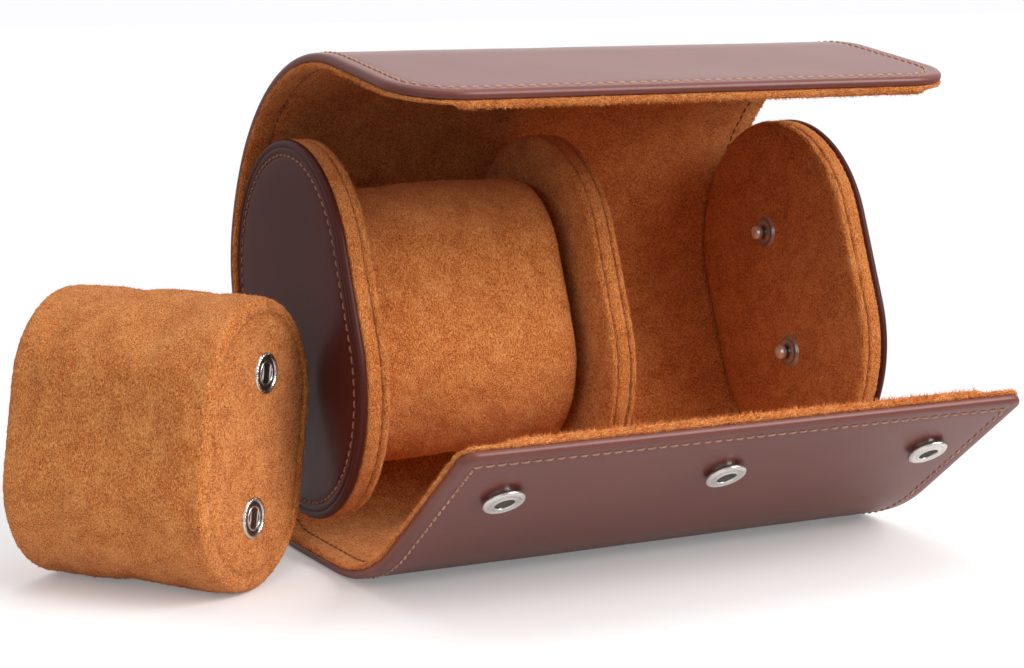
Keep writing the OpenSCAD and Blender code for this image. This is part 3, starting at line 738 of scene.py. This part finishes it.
def dress_cap(side, matrix):
    r = CAP_R
    panel = [(14, 0.24), (9, 0.30), (6.5, 0.38), (5.2, 0.48), (4.5, 0.62), (4.1, 0.70), (3.7, 0.62), (3.1, 0.46)]
    panel += [(2.6, 0.46), (2.15, 0.62), (1.95, 0.80), (1.8, 0.66), (1.45, 0.42), (1.05, 0.40), (0.6, 0.55)]
    panel += [(0.22, 0.92), (0.06, 1.4), (0.16, 1.95), (0.5, 2.35), (1.0, 2.5), (2.4, 2.5), (3.0, 2.0)]
    panel = [(0, 0.22)] + inside(r, panel) + [(0, 2.0)]
    leather = loft(f"{side}_cap_panel", matrix, CAP_STRAIGHT, curve(panel), LEATHER_DARK, 1.4)
    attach(leather, "case")
    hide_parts(f"{side}_cap_leather")
    ring_stitches(f"{side}_cap_stitches", matrix, r - 4.1, 0.58, (0, -1), THREAD_CAP, 2.0, 0.56)
    band = [(3.2, 2.1), (2.0, 2.45), (1.2, 2.42), (0.7, 2.6), (0.42, 3.0), (0.32, 3.9), (0.34, 5.1), (0.46, 5.8)]
    band += [(0.8, 6.18), (1.1, 6.32), (0.78, 6.48), (0.42, 6.9), (0.36, 7.4), (0.6, 8.0), (1.2, 8.48)]
    band += [(2.2, 8.74), (3.6, 8.8), (7, 8.8)]
    band = [(0, 2.1)] + inside(r, band) + [(0, 8.8)]
    suede = loft(f"{side}_cap_suede", matrix, CAP_STRAIGHT, fine(curve(band), 0.9), SUEDE, 0.9, jitter=0.08, seed=11)
    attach(suede, "case")
    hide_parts(f"{side}_cap_band", f"{side}_cap_face")
    ring_stitches(f"{side}_cap_seam", matrix, r - 1.05, 6.32, (1, 0), THREAD_DARK, 1.8, 0.3)


dress_cap("left", LEFT)
dress_cap("right", RIGHT)


def dress_divider():
    r, t = CAP_R - DIVIDER_INSET, DIVIDER_T
    half = [(7, 0.0), (3.2, 0.02), (1.9, 0.1), (0.9, 0.45), (0.25, 1.0), (0.1, 1.6), (0.25, 2.05), (0.7, 2.32)]
    half = [(0, 0.0)] + inside(r, half + [(0.25, 2.6), (0.04, 3.2)])
    whole = fine(curve(half + [(r, t / 2)] + mirrored(half, t)), 0.9)
    suede = loft("divider_suede", DIVIDER, CAP_STRAIGHT, whole, SUEDE, 0.9, jitter=0.08, seed=12)
    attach(suede, "case")
    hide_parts("divider_band", "divider_left_face", "divider_right_face")
    for k, z in enumerate((2.32, t - 2.32)):
        ring_stitches(f"divider_seam_{k + 1}", DIVIDER, r - 0.66, z, (1, 0), THREAD_DARK, 1.8, 0.3)


dress_divider()


def sleeve_give(which, seed):
    """How far the sleeve's suede moves off the foam, from a cloth run: its ends are held, it has a little more
    length than the foam under it, and air pressure from inside keeps it off the foam. Gives a function of points."""
    r, t = CUSHION_R - 0.3, CUSHION_L
    half = [(0, 0)] + inside(r, [(9, 0), (4, 0), (0.8, 0.4), (0, 2.0)])
    whole = fine(half + mirrored(half, t), 2.6)
    rough = loft(f"{which}_sleeve_run", Matrix.Identity(4), CUSHION_STRAIGHT, whole, SUEDE, 2.6)
    start = np.array([v.co for v in rough.data.vertices]) / MM
    z = start[:, 2]
    local = np.random.default_rng(seed)
    for v, k in zip(rough.data.vertices, local.normal(0, 0.05, len(start))):
        v.co += v.normal * k * MM
    held = rough.vertex_groups.new(name="held")
    held.add([int(i) for i in np.nonzero(np.minimum(z, t - z) < 3.0)[0]], 1.0, "REPLACE")
    cloth = rough.modifiers.new("cloth", "CLOTH")
    c = cloth.settings
    c.quality, c.mass, c.time_scale = 6, 0.15, 1.0
    c.tension_stiffness = c.compression_stiffness = 12
    c.shear_stiffness, c.bending_stiffness = 6, 0.35
    c.use_pressure, c.uniform_pressure_force = True, 4.0
    c.shrink_min = -0.035
    c.effector_weights.gravity = 0
    c.vertex_group_mass = "held"
    cloth.point_cache.frame_start, cloth.point_cache.frame_end = 1, 20
    for f in range(1, 21):
        scene.frame_set(f)
    after = rough.evaluated_get(bpy.context.evaluated_depsgraph_get())
    end = np.array([v.co for v in after.data.vertices]) / MM
    moved = end - start
    far = np.linalg.norm(moved, axis=1)
    moved *= np.minimum(1, 1.6 / np.maximum(far, 1e-9))[:, None]
    scene.frame_set(1)
    bpy.data.objects.remove(rough)
    tree = KDTree(len(start))
    for i, p in enumerate(start):
        tree.insert(p, i)
    tree.balance()

    def give(pts):
        out = np.zeros((len(pts), 3))
        for i, p in enumerate(pts):
            near = tree.find_n(p, 6)
            w = np.array([1 / (d * d + 0.6) for _, _, d in near])
            out[i] = (w[:, None] * moved[[k for _, k, _ in near]]).sum(0) / w.sum()
        return out

    return give


def dress_cushion(which, matrix, body, seed):
    r, t = CUSHION_R, CUSHION_L
    face = [(12, 0.0), (6.5, 0.02), (5.4, 0.12), (4.8, 0.34), (4.3, 0.48), (3.9, 0.3), (3.3, 0.0), (2.4, 0.04)]
    face += [(1.5, 0.42), (0.7, 1.0), (0.25, 1.9), (0.1, 3.2), (0.05, 6.0), (0.1, 14.0)]
    face = [(0, 0.0)] + inside(r, face)
    whole = fine(curve(face + [(r - 0.15, t / 2)] + mirrored(face, t)), 0.8)
    give = sleeve_give(which, seed)

    def shape(pts, out, rr, z):
        """The sleeve's give from the cloth run, and the foam's own unevenness under it."""
        on_side = np.clip((rr - (r - 3)) / 3, 0, 1) * np.clip((np.minimum(z, t - z) - 1.0) / 4, 0, 1)
        swell = 0.22 * smooth_noise(pts, 30, seed) + 0.10 * smooth_noise(pts, 11, seed + 1) - 0.25
        swell = swell + 0.42 * (give(pts) * out).sum(1)
        return pts + out * (np.clip(swell, -0.7, 0.5) * on_side)[:, None]

    suede = loft(f"{which}_cushion_suede", matrix, CUSHION_STRAIGHT, whole, SUEDE, 0.8, shape, 0.08, seed)
    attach(suede, body)
    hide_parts(*(f"{which}_cushion_{n}" for n in ("sleeve", "socket_end", "plain_end", "foam")))


dress_cushion("left", LEFT_CUSHION, "left_cushion", 21)
dress_cushion("loose", LOOSE_CUSHION, "loose_cushion", 27)


# ---- the suede's nap: short fibres that break up its edges ----
SPIKE_R, SPIKE_ROOT = 0.075, 0.12  # a fibre's radius and how deep it stands in the suede


def vectors(items, key, dtype=float):
    out = np.empty(len(items) * 3, dtype)
    items.foreach_get(key, out)
    return out.reshape(-1, 3)


def nap(piece, density, length, seed, where):
    """Fibres standing on a suede piece, thin closed spikes rooted in it. density is fibres per mm2 and where gives,
    from points in the piece's flat coordinates, how much of it each place takes, 0 to 1."""
    mesh = piece.data
    mesh.calc_loop_triangles()
    tri = vectors(mesh.loop_triangles, "vertices", np.int32)
    co = vectors(mesh.vertices, "co") / MM
    flat = vectors(mesh.attributes["flat"].data, "vector", np.float32).astype(float)
    a, b, c = (co[tri[:, i]] for i in range(3))
    cross = np.cross(b - a, c - a)
    area = np.linalg.norm(cross, axis=1) / 2
    local = np.random.default_rng(seed)
    k = np.repeat(np.arange(len(tri)), local.poisson(area * density * where(flat[tri].mean(1))))
    u, v = local.random(len(k)), local.random(len(k))
    flip = u + v > 1
    u[flip], v[flip] = 1 - u[flip], 1 - v[flip]
    root = a[k] + (b - a)[k] * u[:, None] + (c - a)[k] * v[:, None]
    base_flat = flat[tri[k, 0]]
    n = cross[k] / np.maximum(np.linalg.norm(cross[k], axis=1), 1e-9)[:, None]
    side = np.cross(n, local.normal(size=(len(k), 3)))
    side /= np.linalg.norm(side, axis=1)[:, None]
    other = np.cross(n, side)
    reach = length(base_flat) if callable(length) else length
    tall = (reach * local.uniform(0.5, 1.15, len(k)))[:, None]
    way = n + other * local.uniform(0.2, 1.3, len(k))[:, None]
    way /= np.linalg.norm(way, axis=1)[:, None]
    foot = root - n * SPIKE_ROOT
    corners = [foot + SPIKE_R * (math.cos(t) * side + math.sin(t) * other) for t in (0, 2.09, 4.19)]
    verts = np.stack([*corners, root + way * tall], 1).reshape(-1, 3)
    i = np.arange(len(k))[:, None] * 4
    faces = np.concatenate([i + [0, 2, 1], i + [0, 1, 3], i + [1, 2, 3], i + [2, 0, 3]])
    name = piece.name + "_nap"
    fuzz = bpy.data.meshes.new(name)
    fuzz.from_pydata((verts * MM).tolist(), [], faces.tolist())
    set_flat(fuzz, np.repeat(base_flat, 4, axis=0))
    fuzz.materials.append(NAP)
    return add_object(name, fuzz)


def lining_edge_share(flat):
    near = np.minimum(HALF_W - np.abs(flat[:, 0]), np.minimum(flat[:, 1], COVER_L - flat[:, 1]))
    return np.where(near < 0.9, 1.0, 0.0)


def lining_fringe(flat):
    """Longest on the lip's front edge, where it doesn't close on a cap."""
    free = (flat[:, 1] < 3) & (np.abs(flat[:, 0]) < HALF_W - CAP_T - 2)
    return np.where(free, 1.2, 0.75)


def cushion_share(flat):
    """All over, but not on the end that meets the divider or the cap, nor under a snap."""
    from_snap = np.hypot(flat[:, 0], np.abs(flat[:, 1]) - PAD_PITCH / 2)
    return ((flat[:, 2] < CUSHION_L - 0.8) & ((flat[:, 2] > 1) | (from_snap > 5.4))) * 1.0


def rim_share(r):
    """Only the outer 3 mm of a racetrack whose outline is r from its spine."""

    def share(flat):
        from_spine = np.hypot(flat[:, 0], np.maximum(np.abs(flat[:, 1]) - CAP_STRAIGHT / 2, 0))
        return (from_spine > r - 3.0) * 1.0

    return share


for i, label in enumerate(LABEL):
    fringe = nap(cover_pieces[label][1], 7.0, lining_fringe, 60 + i, lining_edge_share)
    blend_at_fold(fringe)
rims = {"left_cap_suede": CAP_R, "right_cap_suede": CAP_R, "divider_suede": CAP_R - DIVIDER_INSET}
for k, (name, r) in enumerate(rims.items()):
    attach(nap(bpy.data.objects[name], 2.2, 0.55, 70 + k, rim_share(r)), "case")
for k, which in enumerate(("left", "loose")):
    fuzz = nap(bpy.data.objects[f"{which}_cushion_suede"], 1.0, 0.6, 80 + k, cushion_share)
    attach(fuzz, f"{which}_cushion")


# ---- metal fittings ----
def lathe(name, matrix, centres, profile, material, sides=64, ridges=None):
    """One solid of revolution at each centre. profile is (r, z) points from the axis round and back to the axis,
    or a closed loop. ridges is (first r, last r, count, height): a knurled ring on the top."""
    verts, faces = [], []
    a = np.linspace(0, 2 * math.pi, sides, endpoint=False)
    for c in centres:
        faces.append(grid_faces(len(profile), sides, wrap=True) + sum(len(v) for v in verts))
        pts = []
        for r, z in profile:
            zz = np.full(sides, z, float)
            if ridges and ridges[0] <= r <= ridges[1]:
                zz = zz + ridges[3] * (np.cos(a * ridges[2]) > 0)
            pts.append(np.column_stack([c[0] + r * np.cos(a), c[1] + r * np.sin(a), c[2] + zz]))
        verts.append(np.concatenate(pts))
    pts = np.concatenate(verts)
    return make(name, placed(matrix, pts), np.concatenate(faces), material, flat=pts)


def wire(points, radius):
    """A round wire along points, as a (points, faces) pair, with closed ends."""
    p, sides = np.array(points, float), ROUND
    t = np.gradient(p, axis=0)
    t /= np.linalg.norm(t, axis=1)[:, None]
    side = np.cross(t, (0, 0, 1.0))
    side /= np.linalg.norm(side, axis=1)[:, None]
    lift = np.cross(side, t)
    a = np.linspace(0, 2 * math.pi, sides, endpoint=False)
    ring = p[:, None] + radius * (np.cos(a)[None, :, None] * side[:, None] + np.sin(a)[None, :, None] * lift[:, None])
    faces = list(grid_faces(len(p), sides, wrap=True))
    faces += [list(range(sides))[::-1], [(len(p) - 1) * sides + k for k in range(sides)]]
    return ring.reshape(-1, 3), faces


def joined(name, matrix, shells, material):
    verts, faces, count = [], [], 0
    for v, f in shells:
        faces += [[int(k) + count for k in face] for face in f]
        verts.append(v)
        count += len(v)
    pts = np.concatenate(verts)
    return make(name, placed(matrix, pts), faces, material, flat=pts)


# across x, from the fold towards the lip's edge y, and into the cover z, as on a cushion's end: heights are negative
LIP_FRAME = Matrix.Translation((0, *LIP_3[:2])) @ Matrix.Rotation(math.radians(LIP_3[2]), 4, "X") @ MIRROR
SNAPS = [(k * SNAP_PITCH, LIP_3_L - SNAP_EDGE, 0) for k in (-1, 0, 1)]
socket = [(0, 0.9), (3.2, 0.9), (3.25, 0.2), (3.3, -0.5), (3.5, -0.66), (4.4, -0.72), (4.95, -0.9), (5.1, -1.25)]
socket += [(5.02, -1.7), (4.7, -2.02), (4.3, -2.16), (3.95, -2.12), (3.8, -2.02), (3.5, -2.0), (3.2, -2.02)]
socket += [(3.05, -2.14), (2.75, -2.2), (2.5, -2.12), (2.38, -1.85), (2.35, -1.2), (2.3, 0.1), (0, 0.15)]
piece = lathe("lip_socket_caps", LIP_FRAME, SNAPS, curve(socket), NICKEL, 160, (4.0, 4.8, 40, 0.09))
sharpen(piece, 40)
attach(piece, "lip_3")
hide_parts("lip_sockets")
# a dark well that fills each socket's hole: painted shade of the hollow
well = [(0, 0.3), (2.5, 0.3), (2.5, -1.5), (2.32, -1.5), (2.3, -0.35), (0, -0.35)]
wells = lathe("lip_socket_wells", LIP_FRAME, SNAPS, well, NICKEL_PAINTED_SHADE, 48)
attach(wells, "lip_3")

PADS = [(0, m * PAD_PITCH / 2, 0) for m in (-1, 1)]
stud = [(0, 0.02), (4.1, 0.02), (4.2, 0.2), (4.17, 0.5), (3.95, 0.72), (3.6, 0.78), (3.2, 0.66), (2.8, 0.55)]
stud += [(2.4, 0.62), (1.9, 0.85), (1.5, 1.2), (1.4, 1.5), (1.45, 1.7), (1.72, 1.95), (1.93, 2.4), (2.0, 2.9)]
stud += [(1.92, 3.4), (1.65, 3.85), (1.2, 4.1), (0.6, 4.19), (0, STUD_H)]
for side, matrix in (("left", LEFT), ("right", RIGHT)):
    place = matrix @ Matrix.Translation((0, 0, CAP_T))
    piece = lathe(f"{side}_cap_ball_studs", place, PADS, curve(stud), NICKEL_STUD, 64)
    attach(piece, "case")
    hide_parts(f"{side}_cap_studs")

# a cushion's socket: a beaded rim, a dark well with a pressed ring (painted shade of the socket's hollow), an inner
# ring and the spring that holds the ball's neck
rim = [(3.75, 0.35), (4.9, 0.35), (5.0, 0.2), (4.98, -0.1), (4.82, -0.4), (4.5, -0.56), (4.15, -0.52), (3.9, -0.3)]
rim += [(3.8, 0.0), (3.75, 0.35)]
well = [(0, 2.55), (4.7, 2.55), (4.75, 0.3), (4.3, -0.1), (3.9, -0.2), (3.6, -0.22), (3.3, -0.2), (3.0, -0.22)]
well += [(2.6, -0.2), (2.45, -0.22), (2.3, -0.24), (0, -0.24)]
collar = [(2.42, 0.0), (3.02, 0.0), (3.08, -0.2), (3.02, -0.38), (2.82, -0.47), (2.6, -0.43), (2.46, -0.28)]
collar += [(2.42, 0.0)]
for which, matrix, body in (("left", LEFT_CUSHION, "left_cushion"), ("loose", LOOSE_CUSHION, "loose_cushion")):
    springs = []
    for c in PADS:
        for side in (-1, 1):
            bow = [(side * (1.62 + 0.25 * abs(u) ** 2), c[1] + 2.1 * u, -0.25) for u in np.linspace(-1, 1, 9)]
            springs.append(wire(bow, 0.24))
    parts = [
        lathe(f"{which}_cushion_snap_rims", matrix, PADS, curve(rim), NICKEL, 144, (4.2, 4.85, 36, -0.1)),
        # the wells' dark nickel is painted shade of the socket's hollow
        lathe(f"{which}_cushion_snap_wells", matrix, PADS, well, NICKEL_PAINTED_SHADE, 144, (2.9, 3.7, 14, -0.12)),
        lathe(f"{which}_cushion_snap_collars", matrix, PADS, curve(collar), NICKEL, 72),
        joined(f"{which}_cushion_snap_springs", matrix, springs, NICKEL),
    ]
    for piece in parts:
        sharpen(piece, 40)
        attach(piece, body)
    for piece in parts[:2]:
        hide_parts(f"{which}_cushion_sockets")

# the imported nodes: board, foam and metal
for name, node in frame["nodes"].items():
    look = None
    if name.endswith(("_board", "_core")):
        look = BOARD_MAT
    elif name.endswith("_foam"):
        look = FOAM_MAT
    elif name.endswith(("studs", "washers", "sockets")):
        look = NICKEL_CAD
    if look:
        node.data.materials.clear()
        node.data.materials.append(look)

# ---- stage, light and camera ----
CAMERA = Vector((-296.254, -539.617, 149.575)) * MM
YAW, PITCH, FOCAL_PX, WIDTH_PX, SENSOR = 0.4785, 0.160, 2385.0, 1024, 36.0
camera = add_object("camera", bpy.data.cameras.new("camera"))
scene.camera = camera
camera.data.sensor_width = SENSOR
camera.data.lens = FOCAL_PX / WIDTH_PX * SENSOR
camera.data.clip_start, camera.data.clip_end = 0.01, 50
camera.location = CAMERA
ahead = Vector((math.sin(YAW) * math.cos(PITCH), math.cos(YAW) * math.cos(PITCH), -math.sin(PITCH)))
camera.rotation_mode = "QUATERNION"
camera.rotation_quaternion = ahead.to_track_quat("-Z", "Y")


def white_for_camera(net, surface, strength):
    """surface plus a glow that the camera sees, and reflections see in part, so that the background is white."""
    path = add(net, "LightPath", {})
    seen = maths(net, "MULTIPLY", path.outputs["Is Glossy Ray"], 0.4)
    seen = maths(net, "MAXIMUM", path.outputs["Is Camera Ray"], seen)
    seen = maths(net, "MAXIMUM", seen, path.outputs["Is Transmission Ray"])
    inputs = {"Color": (1, 1, 1, 1), "Strength": maths(net, "MULTIPLY", seen, strength)}
    glow = add(net, "Emission", inputs).outputs[0]
    return glow if surface is None else add(net, "AddShader", {0: surface, 1: glow}).outputs[0]


# the paper takes the shadow near the case and fades to plain white away from it
FLOOR, SHADE_X, SHADE_Y, SHADE_RX, SHADE_RY = 4000, 0.037, 0.025, 0.16, 0.125
material, net, bsdf = new_material("floor")
net.nodes.remove(bsdf)
corners = [(-FLOOR, -FLOOR, 0), (FLOOR, -FLOOR, 0), (FLOOR, FLOOR, 0), (-FLOOR, FLOOR, 0)]
floor = make("floor", corners, [(0, 1, 2, 3)], material, smooth=False)
place = add(net, "TexCoord", {}).outputs["Object"]
oval = {0: place, 1: (1 / SHADE_RX, 1 / SHADE_RY, 0), 2: (SHADE_X / SHADE_RX, SHADE_Y / SHADE_RY, 0)}
oval = add(net, "VectorMath", oval, operation="MULTIPLY_ADD").outputs[0]
reach = add(net, "VectorMath", {0: oval}, operation="LENGTH").outputs["Value"]
fade = {"Value": reach, "From Min": 1.05, "From Max": 1.9}
fade = add(net, "MapRange", fade, interpolation_type="SMOOTHSTEP").outputs[0]
paper = add(net, "BsdfDiffuse", {"Color": (0.80, 0.785, 0.785, 1)}).outputs[0]
near, far = white_for_camera(net, paper, 0.2), white_for_camera(net, None, 1.0)
blend = add(net, "MixShader", {0: fade, 1: near, 2: far}).outputs[0]
feed(net, net.nodes["Material Output"], {"Surface": blend})

# plain white to the camera, a little less as light
world = bpy.data.worlds.new("world")
scene.world = world
world.use_nodes = True
net = world.node_tree
level = add(net, "Mix", {0: add(net, "LightPath", {}).outputs["Is Camera Ray"], 2: 0.62, 3: 1.0}).outputs[0]
feed(net, net.nodes["Background"], {"Color": (0.98, 0.98, 1.0, 1), "Strength": level})


def lamp(name, at, target, size, power, colour=(1, 1, 1)):
    data = bpy.data.lights.new(name, "AREA")
    data.shape, data.size, data.size_y = "RECTANGLE", size[0], size[1]
    data.energy, data.color = power, colour
    obj = add_object(name, data)
    obj.location = at
    obj.rotation_mode = "QUATERNION"
    obj.rotation_quaternion = (Vector(target) - Vector(at)).to_track_quat("-Z", "Y")


lamp("key", (0.68, -0.88, 0.78), (0, 0, 0.05), (0.9, 0.8), 15.5, (1.0, 0.985, 0.96))
lamp("top", (0.10, 0.10, 1.35), (0, 0, 0.05), (1.2, 1.0), 5.0)
lamp("fill", (-0.95, -0.65, 0.5), (0, 0, 0.06), (0.9, 0.8), 1.4)
lamp("rim", (0.75, 1.3, 0.5), (0, 0, 0.1), (1.6, 0.7), 3.0)

scene.view_settings.view_transform = "Standard"
